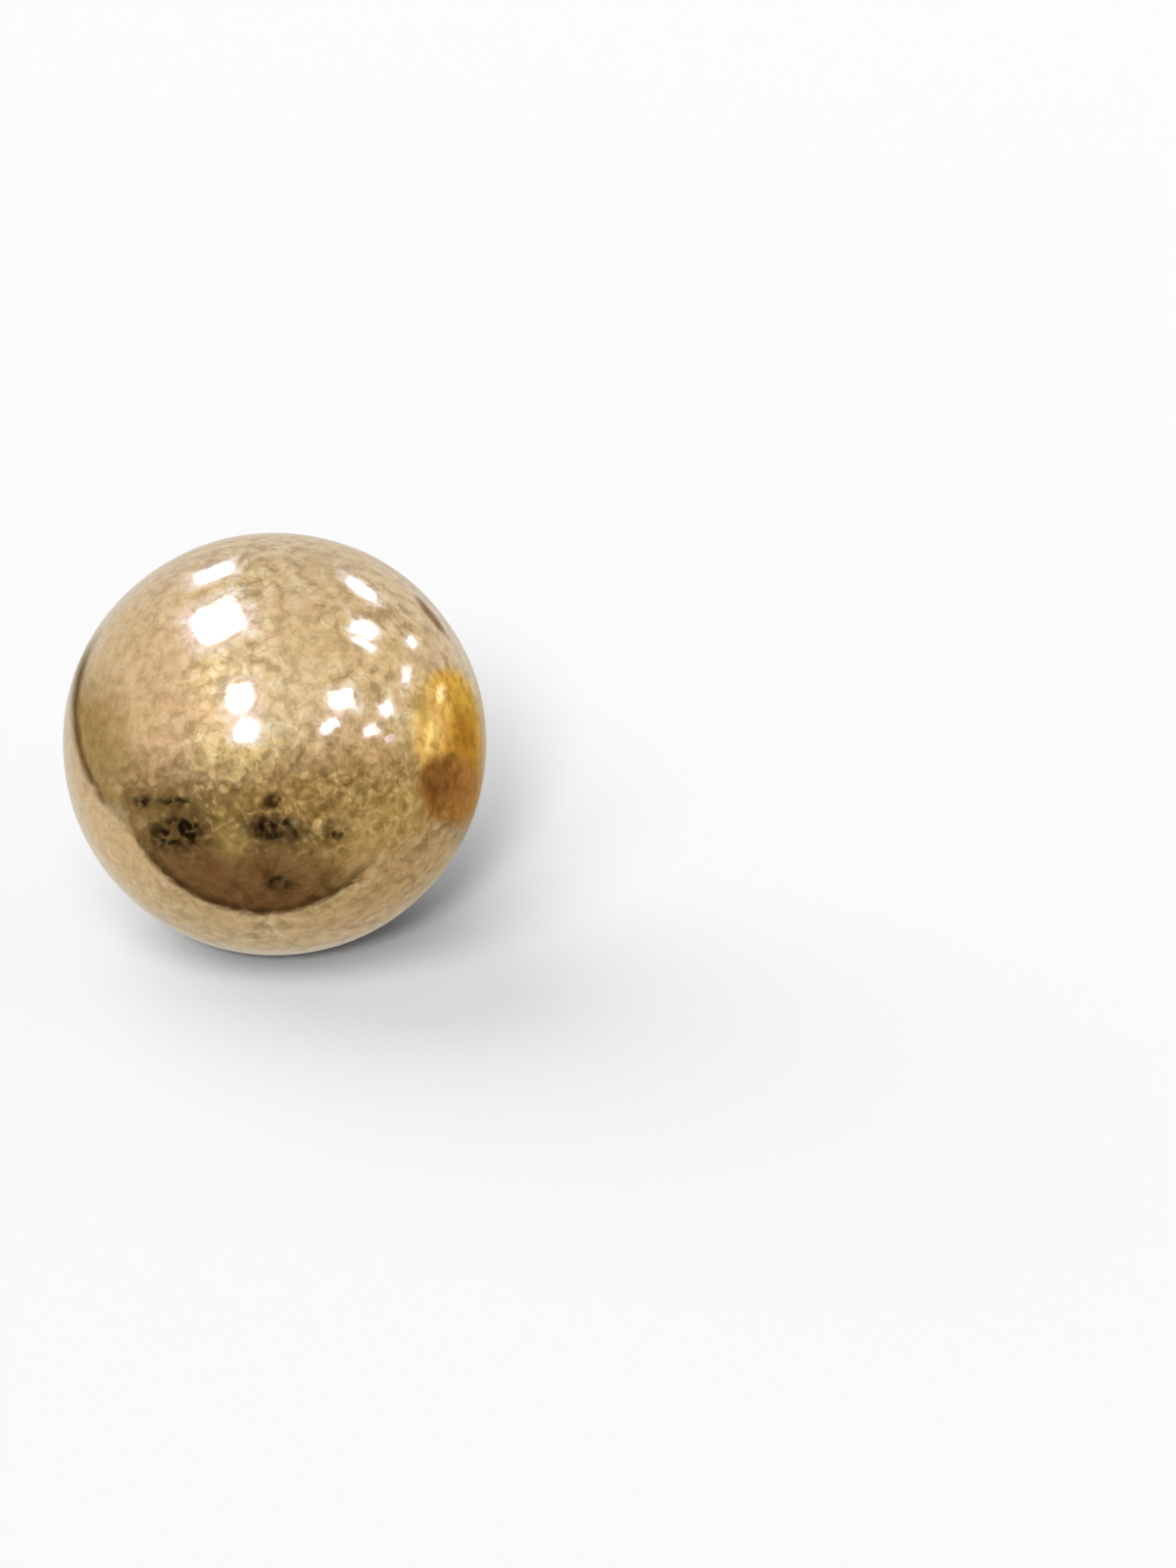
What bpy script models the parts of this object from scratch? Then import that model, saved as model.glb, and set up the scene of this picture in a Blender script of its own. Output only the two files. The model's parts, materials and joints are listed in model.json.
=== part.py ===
"""Ball stud earring: a drilled glass ball with gold leaf in it, glued on a gold-plated ear post.

The stud lies as it would by itself on a table, on the ball and on the rounded end of the post.
Units are metres, +Z is up, the ball's front faces -Y and the post points to +Y.

Outlines are (radius, height) pairs, where height runs along the stud's own axis from the ball's
centre towards the end of the post.
"""

import math

import bmesh
import bpy

# Ball
BALL_DIAMETER = 0.012
GROUND_FLAT_DIAMETER = 0.0024
HOLE_DIAMETER = 0.0011
HOLE_DEPTH = 0.004
DRILL_POINT_ANGLE = math.radians(118)

# Glue round the peg and under the cup, and the space left in front of the peg
GLUE_GAP = 0.00008
PEG_END_GAP = 0.0003

# Ear post
PEG_CHAMFER = 0.0001
CUP_DIAMETER = 0.005
CUP_THICKNESS = 0.00025
PAD_DIAMETER = 0.0024
PAD_HEIGHT = 0.00012
SOLDER_FILLET = 0.00015
POST_DIAMETER = 0.0008
POST_LENGTH = 0.010
TIP_FLAT_DIAMETER = 0.0003
GROOVE_DEPTH = 0.00006
GROOVE_WIDTH = 0.0006
GROOVE_TO_TIP = 0.002

# Facets
BALL_SEGMENTS = 42
BALL_RINGS_TO_FLOOR = 12
POST_SEGMENTS = 40
CUP_ARC_STEPS = 8
SMALL_ARC_STEPS = 6
SHARP_ANGLE = math.radians(35)
MERGE_DISTANCE = 1e-7

BALL_RADIUS = BALL_DIAMETER / 2
HOLE_RADIUS = HOLE_DIAMETER / 2
CUP_RADIUS = CUP_DIAMETER / 2
POST_RADIUS = POST_DIAMETER / 2
TIP_FLAT_RADIUS = TIP_FLAT_DIAMETER / 2

# Heights along the stud's axis
GROUND_FLAT_HEIGHT = math.sqrt(BALL_RADIUS**2 - (GROUND_FLAT_DIAMETER / 2) ** 2)
HOLE_FLOOR_HEIGHT = GROUND_FLAT_HEIGHT - HOLE_DEPTH
CUP_FRONT_RADIUS = BALL_RADIUS + GLUE_GAP
CUP_BACK_RADIUS = CUP_FRONT_RADIUS + CUP_THICKNESS
LOBE_FACE_HEIGHT = CUP_BACK_RADIUS + PAD_HEIGHT
TIP_HEIGHT = LOBE_FACE_HEIGHT + POST_LENGTH
TIP_ROUNDING = POST_RADIUS - TIP_FLAT_RADIUS
TIP_ROUNDING_HEIGHT = TIP_HEIGHT - TIP_ROUNDING


def clear_scene():
    for thing in list(bpy.data.objects):
        bpy.data.objects.remove(thing, do_unlink=True)


def principled(name, colour, metallic, roughness, coat=0.0):
    material = bpy.data.materials.new(name)
    material.use_nodes = True
    shader = material.node_tree.nodes["Principled BSDF"]
    shader.inputs["Base Color"].default_value = (*colour, 1)
    shader.inputs["Metallic"].default_value = metallic
    shader.inputs["Roughness"].default_value = roughness
    shader.inputs["Coat Weight"].default_value = coat
    return material


def gold_leaf_under_glass():
    return principled("gold_leaf_under_glass", (0.80, 0.57, 0.31), 1.0, 0.2, coat=1.0)


def gold_plate():
    return principled("gold_plate", (0.86, 0.62, 0.27), 1.0, 0.15)


def arc(centre, radius, start, end, steps):
    """Points on a circle about centre, at angles from the stud's axis in radians."""
    angles = [start + (end - start) * step / steps for step in range(steps + 1)]
    return [(centre[0] + radius * math.sin(a), centre[1] + radius * math.cos(a)) for a in angles]


def rest_tilt():
    """How far below level the post points when the ball and the post's end touch one floor."""
    reach = math.hypot(TIP_ROUNDING_HEIGHT, TIP_FLAT_RADIUS)
    lean = math.atan2(TIP_FLAT_RADIUS, TIP_ROUNDING_HEIGHT)
    return math.asin((BALL_RADIUS - TIP_ROUNDING) / reach) - lean


def turned(name, outline, segments, material):
    """A solid of revolution about +Z, from an outline that starts and ends on that axis."""
    shape = bmesh.new()
    points = [shape.verts.new((radius, 0, height)) for radius, height in outline]
    edges = [shape.edges.new(pair) for pair in zip(points, points[1:])]
    bmesh.ops.spin(
        shape,
        geom=points + edges,
        cent=(0, 0, 0),
        axis=(0, 0, 1),
        angle=math.tau,
        steps=segments,
        use_merge=True,
    )
    bmesh.ops.remove_doubles(shape, verts=shape.verts, dist=MERGE_DISTANCE)
    bmesh.ops.recalc_face_normals(shape, faces=shape.faces)
    mesh = bpy.data.meshes.new(name)
    shape.to_mesh(mesh)
    shape.free()
    mesh.shade_smooth()
    mesh.set_sharp_from_angle(angle=SHARP_ANGLE)
    mesh.materials.append(material)
    piece = bpy.data.objects.new(name, mesh)
    bpy.context.scene.collection.objects.link(piece)
    return piece


def ball_ring_angles():
    """Angles of the ball's rings from the post, front to back, with the floor midway between two."""
    edge_of_flat = math.asin(GROUND_FLAT_DIAMETER / 2 / BALL_RADIUS)
    floor_angle = math.pi / 2 - rest_tilt()
    step = (math.pi - floor_angle) / (BALL_RINGS_TO_FLOOR + 0.5)
    count = round((math.pi - edge_of_flat) / step)
    return [math.pi - step * ring for ring in range(count)] + [edge_of_flat]


def ball_outline():
    """From the front of the ball round to the flat ground on its back, then down the drilled hole."""
    drill_point = HOLE_RADIUS / math.tan(DRILL_POINT_ANGLE / 2)
    sphere = [(BALL_RADIUS * math.sin(a), BALL_RADIUS * math.cos(a)) for a in ball_ring_angles()]
    hole = [
        (HOLE_RADIUS, GROUND_FLAT_HEIGHT),
        (HOLE_RADIUS, HOLE_FLOOR_HEIGHT),
        (0, HOLE_FLOOR_HEIGHT - drill_point),
    ]
    return sphere + hole


def peg_outline():
    """The peg that is glued into the ball's hole, from its front end to the cup."""
    radius = HOLE_RADIUS - GLUE_GAP
    front = HOLE_FLOOR_HEIGHT + PEG_END_GAP
    return [(0, front), (radius - PEG_CHAMFER, front), (radius, front + PEG_CHAMFER)]


def cup_outline():
    """The thin cup that hugs the ball: its hollow front, its rounded rim and its domed back."""
    peg_edge = math.asin((HOLE_RADIUS - GLUE_GAP) / CUP_FRONT_RADIUS)
    rim_angle = math.asin(CUP_RADIUS / CUP_BACK_RADIUS)
    pad_edge = math.asin(PAD_DIAMETER / 2 / CUP_BACK_RADIUS)
    middle = (CUP_FRONT_RADIUS + CUP_BACK_RADIUS) / 2
    rim_centre = (middle * math.sin(rim_angle), middle * math.cos(rim_angle))
    front = arc((0, 0), CUP_FRONT_RADIUS, peg_edge, rim_angle, CUP_ARC_STEPS)
    rim = arc(rim_centre, CUP_THICKNESS / 2, rim_angle + math.pi, rim_angle, SMALL_ARC_STEPS)
    back = arc((0, 0), CUP_BACK_RADIUS, rim_angle, pad_edge, CUP_ARC_STEPS)
    return front + rim[1:-1] + back


def pad_outline():
    """The flat solder pad that rests on the ear lobe, with a fillet of solder round the post."""
    foot = (POST_RADIUS + SOLDER_FILLET, LOBE_FACE_HEIGHT + SOLDER_FILLET)
    fillet = arc(foot, SOLDER_FILLET, math.pi, 1.5 * math.pi, SMALL_ARC_STEPS)
    return [(PAD_DIAMETER / 2, LOBE_FACE_HEIGHT)] + fillet


def post_outline():
    """The post with the groove that a friction back snaps into, and its rounded end."""
    groove_height = TIP_HEIGHT - GROOVE_TO_TIP
    groove = [
        (
            POST_RADIUS - GROOVE_DEPTH * (1 + math.cos(math.tau * share)) / 2,
            groove_height + GROOVE_WIDTH * share,
        )
        for share in (step / SMALL_ARC_STEPS - 0.5 for step in range(SMALL_ARC_STEPS + 1))
    ]
    rounding_centre = (TIP_FLAT_RADIUS, TIP_ROUNDING_HEIGHT)
    tip = arc(rounding_centre, TIP_ROUNDING, math.pi / 2, 0, SMALL_ARC_STEPS)
    return groove + tip + [(0, TIP_HEIGHT)]


def ear_post_outline():
    return peg_outline() + cup_outline() + pad_outline() + post_outline()


def stud_axis():
    """An empty at the ball's centre, turned so that its +Z points down the resting post."""
    tilt = rest_tilt()
    behind_centre = (
        TIP_ROUNDING_HEIGHT * math.cos(tilt) + TIP_FLAT_RADIUS * math.sin(tilt) + TIP_ROUNDING
    )
    axis = bpy.data.objects.new("stud_axis", None)
    bpy.context.scene.collection.objects.link(axis)
    axis.location = (0, (BALL_RADIUS - behind_centre) / 2, BALL_RADIUS)
    axis.rotation_euler.x = -(math.pi / 2 + tilt)
    return axis


def seat(piece, axis, segments):
    """Puts a turned piece on the axis, turned half a facet so that it is even about the YZ plane."""
    piece.parent = axis
    piece.rotation_euler.z = math.pi / segments


def build():
    clear_scene()
    axis = stud_axis()
    ball = turned("gold_leaf_ball", ball_outline(), BALL_SEGMENTS, gold_leaf_under_glass())
    post = turned("ear_post", ear_post_outline(), POST_SEGMENTS, gold_plate())
    seat(ball, axis, BALL_SEGMENTS)
    seat(post, axis, POST_SEGMENTS)


build()
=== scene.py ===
"""Looks of the ball stud: gold leaf crinkled under a clear glossy skin, on a gold-plated ear post.

Lengths are metres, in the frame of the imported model. Outlines are (radius, height) pairs, where
height runs along the stud's own axis from the ball's centre towards the end of the post.
"""

import json
import math
from collections import namedtuple

import bmesh
import bpy
from mathutils import Matrix, Vector, noise


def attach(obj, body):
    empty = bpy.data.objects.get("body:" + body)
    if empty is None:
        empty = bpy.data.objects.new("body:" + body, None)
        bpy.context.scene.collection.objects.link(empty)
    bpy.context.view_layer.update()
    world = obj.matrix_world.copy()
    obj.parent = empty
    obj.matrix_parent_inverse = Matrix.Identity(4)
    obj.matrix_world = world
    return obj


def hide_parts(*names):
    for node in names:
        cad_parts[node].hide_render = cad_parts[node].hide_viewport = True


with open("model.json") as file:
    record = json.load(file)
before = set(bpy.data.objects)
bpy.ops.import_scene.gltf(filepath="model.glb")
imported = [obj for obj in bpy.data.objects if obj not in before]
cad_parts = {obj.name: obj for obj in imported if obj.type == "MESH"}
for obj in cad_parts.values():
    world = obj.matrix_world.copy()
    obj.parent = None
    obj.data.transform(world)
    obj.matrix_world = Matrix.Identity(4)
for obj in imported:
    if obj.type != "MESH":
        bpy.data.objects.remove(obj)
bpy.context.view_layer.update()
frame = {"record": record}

# The photograph's frame, in pixels, and where the ball's picture lies in it
IMAGE_WIDTH = 1200
IMAGE_HEIGHT = 1600
BALL_PIXEL_X = 281
BALL_PIXEL_Y = 759
BALL_PIXEL_RADIUS = 215
LENS_MM = 100
SENSOR_MM = 36
FOCAL_PIXELS = LENS_MM / SENSOR_MM * max(IMAGE_WIDTH, IMAGE_HEIGHT)

# The ball
BALL_RADIUS = 0.006
FLAT_RADIUS = 0.0012
HOLE_RADIUS = 0.00055
HOLE_DEPTH = 0.004
BALL_RINGS = 210
BALL_SEGMENTS = 400
UNEVEN_SIZE = 0.0030
UNEVEN_DEPTH = 0.000018
DIMPLE_SIZE = 0.0009
DIMPLE_DEPTH = 0.0000035
CRINKLE_SIZE = 0.00036
CRINKLE_DEPTH = 0.0000012

# The ear post
GLUE_GAP = 0.00008
PEG_END_GAP = 0.0003
CUP_RADIUS = 0.0025
CUP_THICKNESS = 0.00025
PAD_RADIUS = 0.0012
POST_RADIUS = 0.0004
TIP_FLAT_RADIUS = 0.00015
SOLDER_FILLET = 0.00015
EDGE_ROUNDING = 0.00005
GROOVE_DEPTH = 0.00006
GROOVE_WIDTH = 0.0006
GROOVE_TO_TIP = 0.002
POST_SEGMENTS = 160
ARC_STEPS = 24
SHARP_ANGLE = math.radians(40)

FLAT_HEIGHT = math.sqrt(BALL_RADIUS**2 - FLAT_RADIUS**2)
HOLE_FLOOR_HEIGHT = FLAT_HEIGHT - HOLE_DEPTH
PEG_RADIUS = HOLE_RADIUS - GLUE_GAP

# How large the marks in the materials are
LEAF_TONE_SIZE = 0.0018
LEAF_PATCH_SIZE = 0.0014
LEAF_FOLD_SIZE = 0.00060
LEAF_SPECKLE_SIZE = 0.00018
LEAF_GLOSS_SIZE = 0.0006
WEAR_SIZE = 0.0012
SCRATCH_SIZE = 0.00012
BUMP_DEPTH = 0.000004

# Going right from the ball's left, where the painted shade and highlight of the crumples start to grow
# and where they are at their strongest
FAINT_CRUMPLE_SHADING_X = -0.0045
FULL_CRUMPLE_SHADING_X = -0.0010

# Golds, as linear colours
PEACH_GOLD = (0.88, 0.61, 0.34, 1)
LEMON_GOLD = (0.86, 0.62, 0.30, 1)
# The olive gold is painted shade in the leaf's hollows and creases, and the cream gold is a painted
# highlight on its raised crumples
OLIVE_GOLD_SHADE = (0.50, 0.35, 0.16, 1)
CREAM_GOLD_HIGHLIGHT = (1.00, 0.83, 0.52, 1)
PLATE_GOLD = (0.88, 0.63, 0.29, 1)
WORN_GOLD = (0.74, 0.55, 0.30, 1)

# The floor, level out to a share of its radius and curving up beyond it
FLOOR_RADIUS = 0.8
FLOOR_RISE = 0.25
FLOOR_LEVEL_SHARE = 0.4
FLOOR_RISE_POWER = 2.5
FLOOR_RINGS = 48
FLOOR_SIDES = 96
FLOOR_COLOUR = (0.93, 0.93, 0.93, 1)

SKY_FILL = (0.12, 0.12, 0.12, 1)
SKY_SEEN = (0.95, 0.95, 0.95, 1)
SKY_BY_WAY_OF_GOLD = (0.05, 0.06, 0.09, 1)

# Soft lights for the floor: name, direction to the light, spread in degrees, strength
SUNS = (
    ("front_light", (-0.16, -0.89, 0.44), 10, 1.68),
    ("high_light", (-0.22, -0.68, 0.69), 36, 1.68),
    ("left_light", (-0.55, 0.46, 0.69), 60, 1.12),
)


def mount(name):
    """A mount's point and outward axis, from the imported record."""
    found = next(m for m in frame["record"]["mounts"] if m["name"] == name)
    return Vector(found["pos_m"]), Vector(found["axis"]).normalized()


lobe_point, POST_DIRECTION = mount("lobe_face")
end_point, _ = mount("post_end")
# The ball stands on the floor, on the post's own line
TIP_HEIGHT = (BALL_RADIUS - end_point.z) / -POST_DIRECTION.z
BALL_CENTRE = end_point - POST_DIRECTION * TIP_HEIGHT
LOBE_HEIGHT = (lobe_point - BALL_CENTRE).dot(POST_DIRECTION)

# The picture's own directions at the ball: out of its front, across it and up it
FRONT = -POST_DIRECTION
ACROSS = Vector((1, 0, 0))
UPWARDS = FRONT.cross(ACROSS)


class Graph:
    """Short calls that build a node tree. A value may be a number, a colour or another socket."""

    def __init__(self, tree):
        self.tree = tree
        tree.nodes.clear()

    def feed(self, socket, value):
        if isinstance(value, bpy.types.NodeSocket):
            self.tree.links.new(value, socket)
        else:
            socket.default_value = value

    def node(self, kind, inputs=(), **settings):
        made = self.tree.nodes.new(kind)
        for name, value in settings.items():
            setattr(made, name, value)
        for socket, value in dict(inputs).items():
            self.feed(made.inputs[socket], value)
        return made

    def math(self, operation, *values):
        inputs = dict(enumerate(values))
        return self.node("ShaderNodeMath", inputs, operation=operation).outputs[0]

    def vector(self, operation, *values):
        inputs = dict(enumerate(values))
        made = self.node("ShaderNodeVectorMath", inputs, operation=operation)
        scalar = operation in ("DOT_PRODUCT", "LENGTH")
        return made.outputs["Value" if scalar else "Vector"]

    def noise(self, place, size, detail, distortion=0.0):
        inputs = {
            "Vector": place,
            "Scale": 1 / size,
            "Detail": detail,
            "Distortion": distortion,
        }
        return self.node("ShaderNodeTexNoise", inputs).outputs["Fac"]

    def ramp(self, value, start, end, low=0.0, high=1.0):
        """A smooth step from low at start to high at end."""
        inputs = {
            "Value": value,
            "From Min": start,
            "From Max": end,
            "To Min": low,
            "To Max": high,
        }
        made = self.node("ShaderNodeMapRange", inputs, interpolation_type="SMOOTHSTEP")
        return made.outputs["Result"]

    def mix(self, share, first, second):
        made = self.node("ShaderNodeMix", data_type="RGBA")
        self.feed(made.inputs["Factor"], share)
        self.feed(made.inputs[6], first)
        self.feed(made.inputs[7], second)
        return made.outputs[2]

    def bump(self, height, strength):
        inputs = {"Height": height, "Strength": strength, "Distance": BUMP_DEPTH}
        return self.node("ShaderNodeBump", inputs).outputs["Normal"]

    def surface(self, inputs):
        """Ends a material's tree with its shader."""
        shader = self.node("ShaderNodeBsdfPrincipled", inputs)
        self.node("ShaderNodeOutputMaterial", {"Surface": shader.outputs["BSDF"]})


def arc(centre, radius, start, end, steps):
    """Points on a circle about centre, at angles from the stud's axis in radians."""
    angles = [start + (end - start) * step / steps for step in range(steps + 1)]
    return [(centre[0] + radius * math.sin(a), centre[1] + radius * math.cos(a)) for a in angles]


def meshed(name, shape):
    """Puts a bmesh in the scene as a smooth object."""
    bmesh.ops.recalc_face_normals(shape, faces=shape.faces)
    mesh = bpy.data.meshes.new(name)
    shape.to_mesh(mesh)
    shape.free()
    mesh.shade_smooth()
    piece = bpy.data.objects.new(name, mesh)
    bpy.context.scene.collection.objects.link(piece)
    return piece


def turned(name, outline, segments):
    """A closed solid of revolution about the stud's axis, from front to back, in the model's frame."""
    shape = bmesh.new()
    rings = []
    for radius, height in outline:
        centre = BALL_CENTRE + POST_DIRECTION * height
        if radius == 0:
            rings.append([shape.verts.new(centre)])
            continue
        turns = [math.tau * step / segments for step in range(segments)]
        spokes = [ACROSS * math.cos(turn) - UPWARDS * math.sin(turn) for turn in turns]
        rings.append([shape.verts.new(centre + spoke * radius) for spoke in spokes])
    for ring, following in zip(rings, rings[1:]):
        for step in range(segments):
            after = (step + 1) % segments
            corners = [
                ring[step % len(ring)],
                ring[after % len(ring)],
                following[after % len(following)],
                following[step % len(following)],
            ]
            shape.faces.new(list(dict.fromkeys(corners)))
    return meshed(name, shape)


def ball_outline():
    """From the front of the ball round to the flat ground on its back, then down the drilled hole."""
    edge_of_flat = math.asin(FLAT_RADIUS / BALL_RADIUS)
    sphere = arc((0, 0), BALL_RADIUS, math.pi, edge_of_flat, BALL_RINGS)
    sphere[0] = (0, -BALL_RADIUS)
    hole = [
        (HOLE_RADIUS, FLAT_HEIGHT),
        (HOLE_RADIUS, HOLE_FLOOR_HEIGHT),
        (0, HOLE_FLOOR_HEIGHT - HOLE_RADIUS / 2),
    ]
    return sphere + hole


def relief(point):
    """How far the fired leaf stands proud at a point of the ball: slow swells, dimples and crinkles."""
    uneven = noise.noise(point / UNEVEN_SIZE) * UNEVEN_DEPTH
    dimples = noise.noise(point / DIMPLE_SIZE) * DIMPLE_DEPTH
    crinkles = noise.noise(point / CRINKLE_SIZE) * CRINKLE_DEPTH
    return uneven + dimples + crinkles


def gilded_ball():
    """The ball, dense enough that its crinkles are real shape, with its drilled hole."""
    piece = turned("gilded_ball", ball_outline(), BALL_SEGMENTS)
    for vertex in piece.data.vertices:
        spoke = vertex.co - BALL_CENTRE
        # The rim of the hole and the hole itself stay plain
        if spoke.length > BALL_RADIUS * 0.999:
            vertex.co += spoke.normalized() * relief(spoke)
    return piece


def peg_outline():
    """The rounded front end of the peg that is glued into the ball's hole."""
    front = HOLE_FLOOR_HEIGHT + PEG_END_GAP
    edge = (PEG_RADIUS - EDGE_ROUNDING, front + EDGE_ROUNDING)
    return [(0, front)] + arc(edge, EDGE_ROUNDING, math.pi, math.pi / 2, ARC_STEPS // 4)


def cup_outline():
    """The thin cup that hugs the ball: its hollow front, its rounded rim and its domed back."""
    front_radius = BALL_RADIUS + GLUE_GAP
    back_radius = front_radius + CUP_THICKNESS
    peg_edge = math.asin(PEG_RADIUS / front_radius)
    rim_angle = math.asin(CUP_RADIUS / back_radius)
    pad_edge = math.asin(PAD_RADIUS / back_radius)
    middle = (front_radius + back_radius) / 2
    rim_centre = (middle * math.sin(rim_angle), middle * math.cos(rim_angle))
    front = arc((0, 0), front_radius, peg_edge, rim_angle, ARC_STEPS)
    rim = arc(rim_centre, CUP_THICKNESS / 2, rim_angle + math.pi, rim_angle, ARC_STEPS // 2)
    back = arc((0, 0), back_radius, rim_angle, pad_edge, ARC_STEPS)
    return front + rim[1:-1] + back


def pad_outline():
    """The flat pad that rests on the ear lobe, and the solder round the foot of the post."""
    edge = (PAD_RADIUS - EDGE_ROUNDING, LOBE_HEIGHT - EDGE_ROUNDING)
    foot = (POST_RADIUS + SOLDER_FILLET, LOBE_HEIGHT + SOLDER_FILLET)
    rounding = arc(edge, EDGE_ROUNDING, math.pi / 2, 0, ARC_STEPS // 4)
    fillet = arc(foot, SOLDER_FILLET, math.pi, 1.5 * math.pi, ARC_STEPS // 2)
    return rounding + fillet


def post_outline():
    """The post with its groove for a friction back, and its rounded end."""
    groove = []
    for step in range(ARC_STEPS + 1):
        share = step / ARC_STEPS - 0.5
        depth = GROOVE_DEPTH * (1 + math.cos(math.tau * share)) / 2
        groove.append((POST_RADIUS - depth, TIP_HEIGHT - GROOVE_TO_TIP + GROOVE_WIDTH * share))
    rounding = POST_RADIUS - TIP_FLAT_RADIUS
    tip_centre = (TIP_FLAT_RADIUS, TIP_HEIGHT - rounding)
    return groove + arc(tip_centre, rounding, math.pi / 2, 0, ARC_STEPS // 2) + [(0, TIP_HEIGHT)]


def plated_ear_post():
    outline = peg_outline() + cup_outline() + pad_outline() + post_outline()
    piece = turned("plated_ear_post", outline, POST_SEGMENTS)
    piece.data.set_sharp_from_angle(angle=SHARP_ANGLE)
    return piece


def new_material(name):
    material = bpy.data.materials.new(name)
    material.use_nodes = True
    return material, Graph(material.node_tree)


def gold_leaf_material():
    """Mottled gold leaf, crinkled and nearly mirror bright, under a clear coat, with painted shade in
    its hollows and creases and a painted highlight on its raised crumples.
    """
    material, graph = new_material("gold_leaf_under_glass")
    place = graph.node("ShaderNodeTexCoord").outputs["Object"]
    tone = graph.noise(place, LEAF_TONE_SIZE, detail=3)
    crumple = graph.noise(place, CRINKLE_SIZE, detail=1, distortion=0.3)
    folds = graph.noise(place, LEAF_FOLD_SIZE, detail=1, distortion=0.5)
    speckle = graph.noise(place, LEAF_SPECKLE_SIZE, detail=1)
    patches = graph.noise(place, LEAF_PATCH_SIZE, detail=2)
    # The painted shade and highlight of the crumples come in patches, and are fainter round the ball's
    # left
    in_patches = graph.ramp(patches, 0.38, 0.62, 0.5, 1.0)
    sideways = graph.node("ShaderNodeSeparateXYZ", {"Vector": place}).outputs["X"]
    less_shading_on_left = graph.ramp(sideways, FAINT_CRUMPLE_SHADING_X, FULL_CRUMPLE_SHADING_X, 0.45, 1.0)
    crumple_shading_share = graph.math("MULTIPLY", in_patches, less_shading_on_left)
    # Painted shade in the creases and hollows of the crumples, and a painted highlight on their raised
    # parts
    from_crease = graph.math("ABSOLUTE", graph.math("SUBTRACT", folds, 0.5))
    crease_shade = graph.math("MULTIPLY", graph.ramp(from_crease, 0.06, 0.0, 0.0, 0.55), crumple_shading_share)
    hollow = graph.math("MULTIPLY", graph.ramp(crumple, 0.50, 0.36), crumple_shading_share)
    raised = graph.math("MULTIPLY", graph.ramp(crumple, 0.52, 0.66), crumple_shading_share)
    leaf = graph.mix(graph.ramp(tone, 0.40, 0.62), PEACH_GOLD, LEMON_GOLD)
    leaf = graph.mix(hollow, leaf, OLIVE_GOLD_SHADE)
    leaf = graph.mix(raised, leaf, CREAM_GOLD_HIGHLIGHT)
    leaf = graph.mix(crease_shade, leaf, OLIVE_GOLD_SHADE)
    # Small specks painted in the shade and highlight colours
    leaf = graph.mix(graph.ramp(speckle, 0.50, 0.72, 0.0, 0.35), leaf, OLIVE_GOLD_SHADE)
    leaf = graph.mix(graph.ramp(speckle, 0.50, 0.28, 0.0, 0.35), leaf, CREAM_GOLD_HIGHLIGHT)
    gloss = graph.noise(place, LEAF_GLOSS_SIZE, detail=2)
    graph.surface(
        {
            "Base Color": leaf,
            "Metallic": 1.0,
            "Roughness": graph.ramp(gloss, 0.35, 0.7, 0.05, 0.09),
            "Normal": graph.bump(crumple, 1.0),
            "Coat Weight": 0.7,
            "Coat IOR": 1.5,
            "Coat Roughness": 0.02,
        }
    )
    return material


def gold_plate_material():
    """Polished gold plate with fine uneven marks and slightly worn patches."""
    material, graph = new_material("polished_gold_plate")
    place = graph.node("ShaderNodeTexCoord").outputs["Object"]
    wear = graph.noise(place, WEAR_SIZE, detail=4)
    scratch = graph.noise(place, SCRATCH_SIZE, detail=3, distortion=0.5)
    graph.surface(
        {
            "Base Color": graph.mix(graph.ramp(wear, 0.5, 0.75, 0.0, 0.6), PLATE_GOLD, WORN_GOLD),
            "Metallic": 1.0,
            "Roughness": graph.ramp(wear, 0.35, 0.7, 0.12, 0.26),
            "Normal": graph.bump(scratch, 0.3),
        }
    )
    return material


def floor_material():
    material, graph = new_material("pale_floor")
    graph.surface({"Base Color": FLOOR_COLOUR, "Roughness": 1.0, "Specular IOR Level": 0.0})
    return material


def pale_floor():
    """A wide round floor that rises gently at its edge, so that no view sees where it ends."""
    shape = bmesh.new()
    turns = [math.tau * side / FLOOR_SIDES for side in range(FLOOR_SIDES)]
    rings = []
    for step in range(1, FLOOR_RINGS + 1):
        share = step / FLOOR_RINGS
        radius = FLOOR_RADIUS * share
        beyond_level = max(0.0, (share - FLOOR_LEVEL_SHARE) / (1 - FLOOR_LEVEL_SHARE))
        height = FLOOR_RISE * beyond_level**FLOOR_RISE_POWER
        corners = [(radius * math.cos(turn), radius * math.sin(turn), height) for turn in turns]
        rings.append([shape.verts.new(corner) for corner in corners])
    shape.faces.new(rings[0])
    for ring, following in zip(rings, rings[1:]):
        for side in range(FLOOR_SIDES):
            after = (side + 1) % FLOOR_SIDES
            shape.faces.new((ring[side], following[side], following[after], ring[after]))
    floor = meshed("pale_floor", shape)
    floor.data.materials.append(floor_material())
    floor.visible_glossy = False
    # The raised edge keeps no light from the middle
    floor.visible_shadow = False


# What the studio holds, laid out as the ball's front mirrors it: across and up are shares of the
# ball's radius from its centre, and so are half the width and half the height. A tilt turns a shape
# anticlockwise, in degrees. Soft is how wide its edge is, as a share of its size. Later rows cover
# earlier ones.
Shape = namedtuple("Shape", "across up half_width half_height tilt soft", defaults=(0, 0.02))

# The room over the table, and the dark room in front of it that lies low in the ball like a bowl.
# Outside both, the ball mirrors the white table all round.
ROOM = Shape(0.00, 0.15, 0.957, 0.810)
BOWL = Shape(-0.06, -0.18, 0.665, 0.625)
BOWL_TOP = 0.03
BOWL_FADED_IN = -0.31

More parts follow.
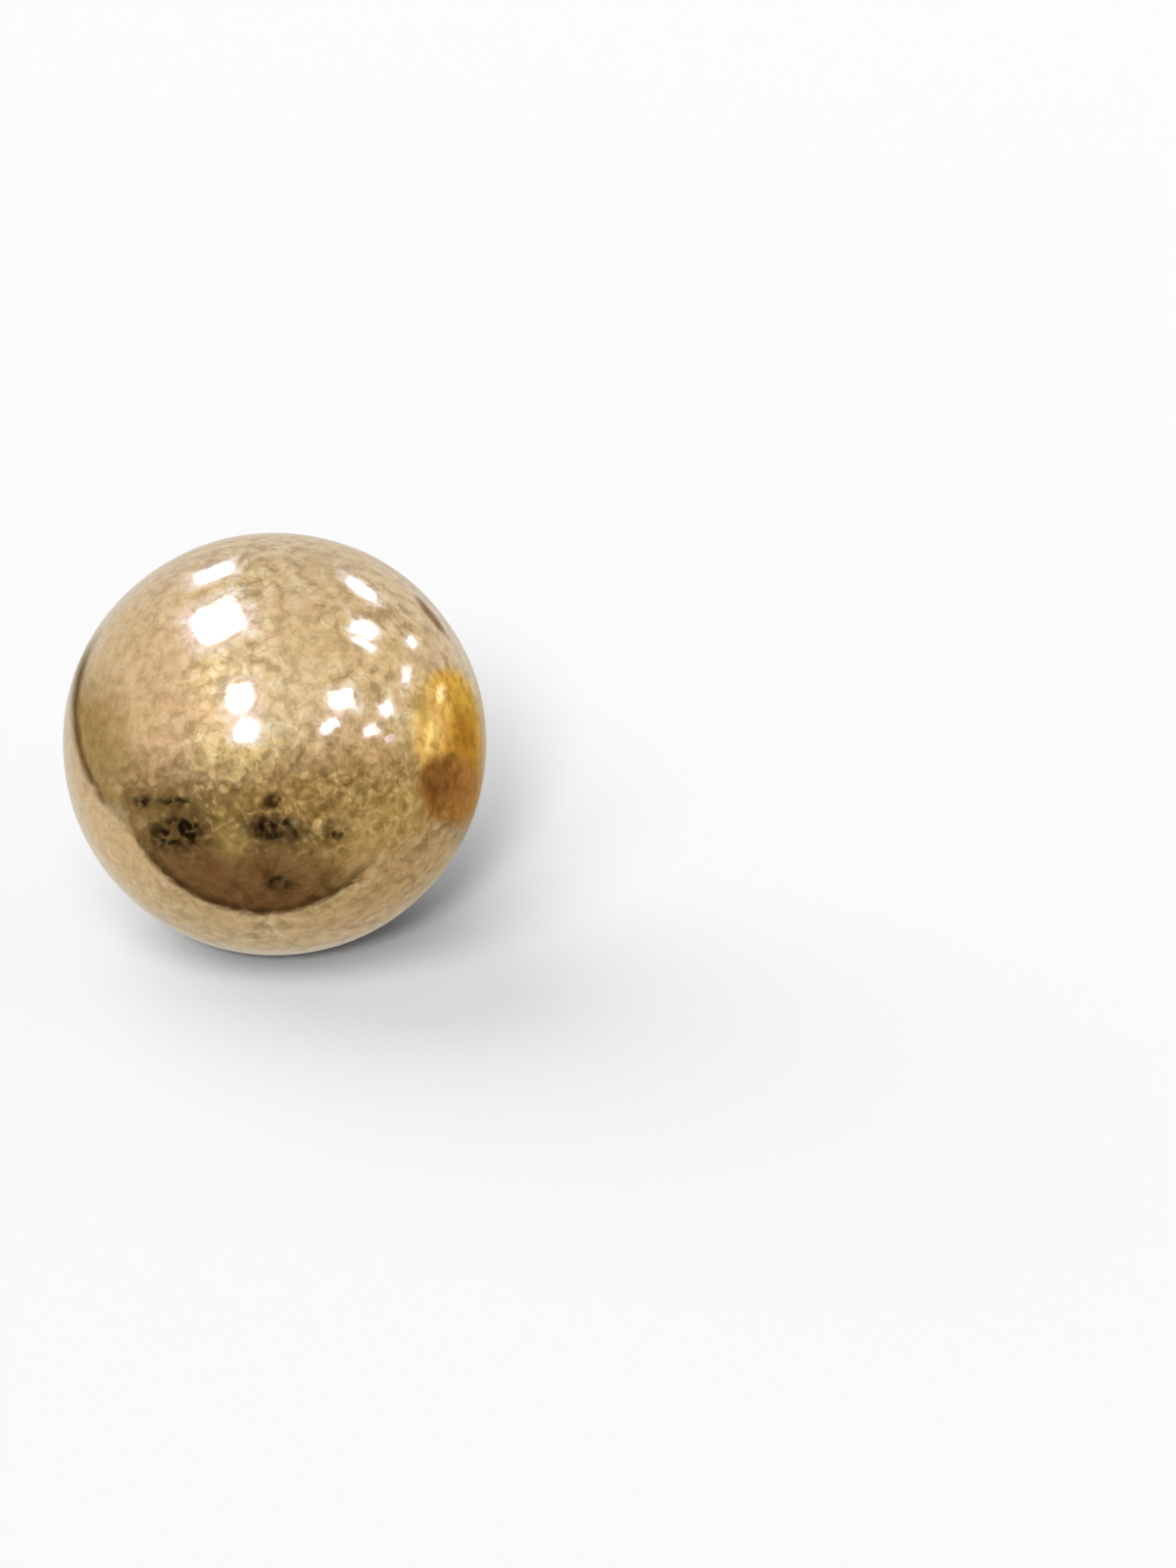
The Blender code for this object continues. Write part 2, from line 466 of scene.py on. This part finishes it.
CEILING = (0.72, 0.69, 0.65, 1)
TABLE_BELOW = (0.55, 0.51, 0.43, 1)
TABLE_BEHIND = (0.72, 0.66, 0.56, 1)
EDGE_SHADE = (0.15, 0.11, 0.05, 1)
BOWL_SHADE = (0.27, 0.22, 0.13, 1)
BOWL_EDGE_SHADE = (0.05, 0.03, 0.01, 1)
NEAR_BLACK = (0.012, 0.008, 0.005, 1)
GAP_SHADE = (0.12, 0.09, 0.05, 1)
GLINT_SHADE = (1.00, 0.95, 0.75, 1)

# Each row is a shape and its linear red, green and blue
TABLE_SHAPES = (
    (Shape(-1.00, -0.35, 0.45, 0.60, 0, 0.9), (0.70, 0.66, 0.58)),
    (Shape(0.90, -0.50, 0.60, 0.50, 0, 0.9), (0.46, 0.39, 0.28)),
    (Shape(0.85, 0.50, 0.40, 0.45, 0, 0.9), (0.56, 0.48, 0.36)),
    (Shape(0.94, -0.38, 0.10, 0.12, 0, 0.8), (0.33, 0.28, 0.21)),
)
ROOM_SHAPES = (
    (Shape(-0.24, 0.34, 0.30, 0.40, 0, 0.9), (0.92, 0.88, 0.84)),
    (Shape(0.36, 0.30, 0.30, 0.34, 0, 0.9), (0.82, 0.78, 0.73)),
    (Shape(-0.14, 0.14, 0.32, 0.26, 0, 0.9), (0.98, 1.01, 1.06)),
    (Shape(-0.30, 0.19, 0.14, 0.20, 0, 0.9), (1.18, 1.16, 1.08)),
    (Shape(-0.98, -0.05, 0.34, 0.36, 4, 0.5), (0.43, 0.36, 0.21)),
    (Shape(-0.52, 0.05, 0.18, 0.34, 0, 0.9), (0.78, 0.70, 0.64)),
    (Shape(-0.84, -0.20, 0.26, 0.20, -30, 0.8), (0.42, 0.37, 0.24)),
    (Shape(0.40, -0.22, 0.60, 0.22, 0, 0.9), (0.57, 0.49, 0.33)),
    (Shape(0.62, -0.33, 0.30, 0.26, 0, 0.8), (0.48, 0.40, 0.23)),
    (Shape(-0.19, -0.05, 0.18, 0.09, 0, 0.7), (0.98, 0.98, 0.78)),
)
# The table, seen past the low left corner of the room
TABLE_CORNER = (Shape(-0.76, -0.37, 0.12, 0.085, -35, 0.25), (0.41, 0.40, 0.34))
BOWL_SHAPES = (
    (Shape(0.12, -0.24, 0.24, 0.12, 0, 0.8), (0.44, 0.35, 0.18)),
    (Shape(0.48, -0.42, 0.24, 0.24, 20, 0.7), (0.48, 0.41, 0.22)),
    (Shape(-0.16, -0.68, 0.46, 0.22, 0, 0.6), (0.18, 0.12, 0.07)),
    (Shape(-0.20, -0.44, 0.09, 0.12, 10, 0.7), (0.34, 0.30, 0.16)),
)
# Dark things, seen broken up by the leaf's crinkles
DARK_SHAPES = (
    Shape(-0.46, -0.42, 0.15, 0.09, 8, 0.5),
    Shape(-0.63, -0.28, 0.04, 0.035, 0, 0.8),
    Shape(-0.48, -0.28, 0.08, 0.022, 0, 0.8),
    Shape(0.01, -0.40, 0.15, 0.06, -4, 0.5),
    Shape(0.28, -0.41, 0.05, 0.04, 0, 0.8),
    Shape(0.00, -0.27, 0.05, 0.04, 0, 0.8),
    Shape(0.02, -0.66, 0.05, 0.04, 0, 0.8),
)
# The warm reflector on the right, lit above and brown below, with two glints on it
AMBER_SHAPES = (
    (Shape(0.82, 0.06, 0.145, 0.30, 0, 0.14), (0.78, 0.56, 0.15)),
    (Shape(0.73, 0.10, 0.07, 0.16, 0, 0.9), (0.90, 0.78, 0.40)),
    (Shape(0.90, -0.07, 0.075, 0.26, 0, 0.5), (0.47, 0.28, 0.05)),
    (Shape(0.83, -0.21, 0.135, 0.17, 0, 0.25), (0.38, 0.22, 0.08)),
    (Shape(0.77, -0.19, 0.07, 0.11, 0, 0.9), (0.24, 0.13, 0.05)),
    (Shape(0.786, 0.237, 0.020, 0.040, 0, 0.5), (1.50, 1.40, 1.10)),
    (Shape(0.733, 0.054, 0.018, 0.060, -8, 0.8), (1.30, 1.15, 0.60)),
)
DARK_LINE = (Shape(0.745, 0.600, 0.11, 0.013, -52, 0.5), (0.30, 0.23, 0.16))
# Where the leaf is crinkled enough to show bright and dark things beside each other
CRINKLED_PART = Shape(0.05, -0.20, 0.72, 0.26, 0, 0.7)

# Small lamps, laid out the same way, each as a share of the full brightness
LAMP_LIGHT = (2.5, 2.6, 4.1, 1)
LAMP_GLOW = (1.12, 1.25, 1.85, 1)
LAMPS = (
    (Shape(-0.298, 0.802, 0.098, 0.032, 22), 1.0),
    (Shape(-0.274, 0.578, 0.122, 0.086, 27), 1.0),
    (Shape(-0.171, 0.216, 0.062, 0.070, 8), 1.0),
    (Shape(-0.129, 0.062, 0.054, 0.050, 0), 1.0),
    (Shape(0.402, 0.737, 0.084, 0.026, -34), 1.0),
    (Shape(0.415, 0.545, 0.058, 0.038, -30), 1.0),
    (Shape(0.417, 0.471, 0.054, 0.020, -32), 1.0),
    (Shape(0.652, 0.479, 0.036, 0.017, -55), 0.7),
    (Shape(0.629, 0.320, 0.018, 0.036, -8), 0.7),
    (Shape(0.312, 0.207, 0.062, 0.050, 10), 1.0),
    (Shape(0.252, 0.083, 0.044, 0.022, 33), 1.0),
    (Shape(0.523, 0.166, 0.032, 0.030, 20), 0.9),
    (Shape(0.450, 0.068, 0.032, 0.023, 20), 0.9),
    (Shape(0.532, 0.036, 0.026, 0.011, 20), 0.45),
)
LAMP_SOFT = 0.2
# How far the glow round a lamp reaches, and its share of the colour next to the lamp
GLOW_REACH = 3.5
GLOW_SHARE = 0.65
# The sizes of the crinkles and of the breaks in the dark things, as shares of the ball's radius
MIRRORED_CRINKLE_SIZE = 0.06
BLOTCH_SIZE = 0.042


def mirrored_place(graph):
    """Where on the ball's front the picture shows each direction, in shares of the ball's radius."""
    direction = graph.node("ShaderNodeTexCoord").outputs["Generated"]
    halfway = graph.vector("NORMALIZE", graph.vector("ADD", direction, tuple(FRONT)))
    facing = graph.vector("DOT_PRODUCT", halfway, tuple(FRONT))
    nearness = graph.math("MULTIPLY_ADD", facing, BALL_PIXEL_RADIUS / FOCAL_PIXELS / 2, 1.0)
    across = graph.vector("DOT_PRODUCT", halfway, tuple(ACROSS))
    up = graph.vector("DOT_PRODUCT", halfway, tuple(UPWARDS))
    across = graph.math("MULTIPLY", across, nearness)
    up = graph.math("MULTIPLY", up, nearness)
    return graph.node("ShaderNodeCombineXYZ", {"X": across, "Y": up}).outputs["Vector"], across, up


def reach(graph, place, shape, square=False):
    """How far out of a shape's middle a place lies, where 1 is its edge: an oval or a rounded box."""
    local = graph.node(
        "ShaderNodeMapping",
        {
            "Vector": place,
            "Location": (shape.across, shape.up, 0),
            "Rotation": (0, 0, math.radians(shape.tilt)),
            "Scale": (shape.half_width, shape.half_height, 1),
        },
        vector_type="TEXTURE",
    ).outputs["Vector"]
    if square:
        local = graph.vector("MULTIPLY", local, local)
    return graph.vector("LENGTH", local)


def inside(graph, place, shape):
    return graph.ramp(reach(graph, place, shape), 1 + shape.soft, 1 - shape.soft)


def painted(graph, place, colour, shapes):
    for shape, shade in shapes:
        colour = graph.mix(inside(graph, place, shape), colour, (*shade, 1))
    return colour


def room_colour(graph, place, across, up):
    """The room over the table, with a dark line where the table ends on the left."""
    colour = painted(graph, place, CEILING, ROOM_SHAPES)
    near_edge = graph.ramp(reach(graph, place, ROOM), 0.955, 0.985)
    on_left = graph.math("MULTIPLY", graph.ramp(across, -0.6, -0.85), graph.ramp(up, 0.6, 0.3))
    colour = graph.mix(graph.math("MULTIPLY", near_edge, on_left), colour, EDGE_SHADE)
    return painted(graph, place, colour, (TABLE_CORNER,))


def bowl_colour(graph, place, up):
    """The dark room in front, darkest at its low edge."""
    colour = painted(graph, place, BOWL_SHADE, BOWL_SHAPES)
    near_edge = graph.ramp(reach(graph, place, BOWL), 0.90, 0.985)
    low_down = graph.ramp(up, -0.40, -0.60, 0.0, 0.8)
    return graph.mix(graph.math("MULTIPLY", near_edge, low_down), colour, BOWL_EDGE_SHADE)


def crinkled_colour(graph, place, colour):
    """Gaps and glints that crinkles pick from the dark below and the lamps above, and dark things."""
    crinkle = graph.noise(place, MIRRORED_CRINKLE_SIZE, detail=1, distortion=0.5)
    from_gap = graph.math("ABSOLUTE", graph.math("SUBTRACT", crinkle, 0.5))
    here = inside(graph, place, CRINKLED_PART)
    gaps = graph.math("MULTIPLY", graph.ramp(from_gap, 0.06, 0.0, 0.0, 0.60), here)
    glints = graph.math("MULTIPLY", graph.ramp(from_gap, 0.10, 0.20, 0.0, 0.45), here)
    colour = graph.mix(glints, graph.mix(gaps, colour, GAP_SHADE), GLINT_SHADE)
    blotches = graph.noise(place, BLOTCH_SIZE, detail=1, distortion=0.2)
    broken = graph.ramp(blotches, 0.38, 0.58, 0.35, 1.0)
    for shape in DARK_SHAPES:
        dark = graph.math("MULTIPLY", inside(graph, place, shape), broken)
        colour = graph.mix(dark, colour, NEAR_BLACK)
    return colour


def studio_colour(graph):
    """All that the gold mirrors."""
    place, across, up = mirrored_place(graph)
    colour = graph.mix(graph.ramp(up, -0.9, 0.9), TABLE_BELOW, TABLE_BEHIND)
    colour = painted(graph, place, colour, TABLE_SHAPES)
    colour = graph.mix(inside(graph, place, ROOM), colour, room_colour(graph, place, across, up))
    # The bowl fades out upwards and to the right
    going_down = graph.ramp(up, BOWL_TOP, BOWL_FADED_IN)
    going_left = graph.ramp(across, 0.62, 0.25, 0.2, 1.0)
    faded_in = graph.math("MULTIPLY", going_down, going_left)
    bowl = graph.math("MULTIPLY", inside(graph, place, BOWL), faded_in)
    colour = graph.mix(bowl, colour, bowl_colour(graph, place, up))
    colour = crinkled_colour(graph, place, colour)
    colour = painted(graph, place, colour, AMBER_SHAPES + (DARK_LINE,))
    for shape, share in LAMPS:
        from_lamp = reach(graph, place, shape, square=True)
        glow = graph.ramp(from_lamp, GLOW_REACH, 1.0, 0.0, GLOW_SHARE * share)
        colour = graph.mix(glow, colour, LAMP_GLOW)
        lit = graph.ramp(from_lamp, 1 + LAMP_SOFT, 1 - LAMP_SOFT)
        colour = graph.mix(lit, colour, [value * share for value in LAMP_LIGHT])
    return colour


def studio_world():
    """Plain light for the floor, and for reflections the studio that the photograph's gold shows."""
    world = bpy.data.worlds.new("studio")
    bpy.context.scene.world = world
    world.use_nodes = True
    world.cycles.sampling_method = "NONE"
    graph = Graph(world.node_tree)
    path = graph.node("ShaderNodeLightPath")
    plain = graph.mix(path.outputs["Is Camera Ray"], SKY_FILL, SKY_SEEN)
    before_floor = graph.math("LESS_THAN", path.outputs["Diffuse Depth"], 0.5)
    mirrored = graph.mix(before_floor, SKY_BY_WAY_OF_GOLD, studio_colour(graph))
    shown = graph.mix(path.outputs["Is Glossy Ray"], plain, mirrored)
    background = graph.node("ShaderNodeBackground", {"Color": shown, "Strength": 1.0})
    graph.node("ShaderNodeOutputWorld", {"Surface": background.outputs["Background"]})


def soft_sun(name, direction, spread, strength):
    """Soft, even light from one side, which isn't mirrored in the gold. Spread is in degrees."""
    light = bpy.data.lights.new(name, "SUN")
    light.angle = math.radians(spread)
    light.energy = strength
    lamp = bpy.data.objects.new(name, light)
    lamp.rotation_euler = Vector(direction).to_track_quat("Z", "Y").to_euler()
    lamp.visible_camera = False
    lamp.visible_glossy = False
    bpy.context.scene.collection.objects.link(lamp)


def photograph_camera():
    """Looks along the stud's axis from in front, turned so that the ball lies where the photo has it."""
    camera_data = bpy.data.cameras.new("camera")
    camera_data.lens = LENS_MM
    camera_data.sensor_width = SENSOR_MM
    camera_data.clip_start = 0.001
    camera_data.clip_end = 5
    camera = bpy.data.objects.new("camera", camera_data)
    bpy.context.scene.collection.objects.link(camera)
    distance = BALL_RADIUS * math.hypot(FOCAL_PIXELS, BALL_PIXEL_RADIUS) / BALL_PIXEL_RADIUS
    to_ball = Vector(
        (BALL_PIXEL_X - IMAGE_WIDTH / 2, IMAGE_HEIGHT / 2 - BALL_PIXEL_Y, -FOCAL_PIXELS)
    )
    pan = to_ball.rotation_difference(Vector((0, 0, -1))).to_matrix()
    facing = Matrix((ACROSS, UPWARDS, FRONT)).transposed()
    camera.matrix_world = Matrix.LocRotScale(
        BALL_CENTRE + FRONT * distance, (facing @ pan).to_quaternion(), None
    )
    bpy.context.scene.camera = camera


def dress_stud():
    """Puts the finished ball and post over the plain solids."""
    ball = gilded_ball()
    ball.data.materials.append(gold_leaf_material())
    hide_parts("gold_leaf_ball")
    post = plated_ear_post()
    post.data.materials.append(gold_plate_material())
    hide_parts("ear_post")
    for piece in (ball, post):
        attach(piece, "root")


dress_stud()
pale_floor()
studio_world()
for sun in SUNS:
    soft_sun(*sun)
photograph_camera()
bpy.context.scene.view_settings.view_transform = "Standard"
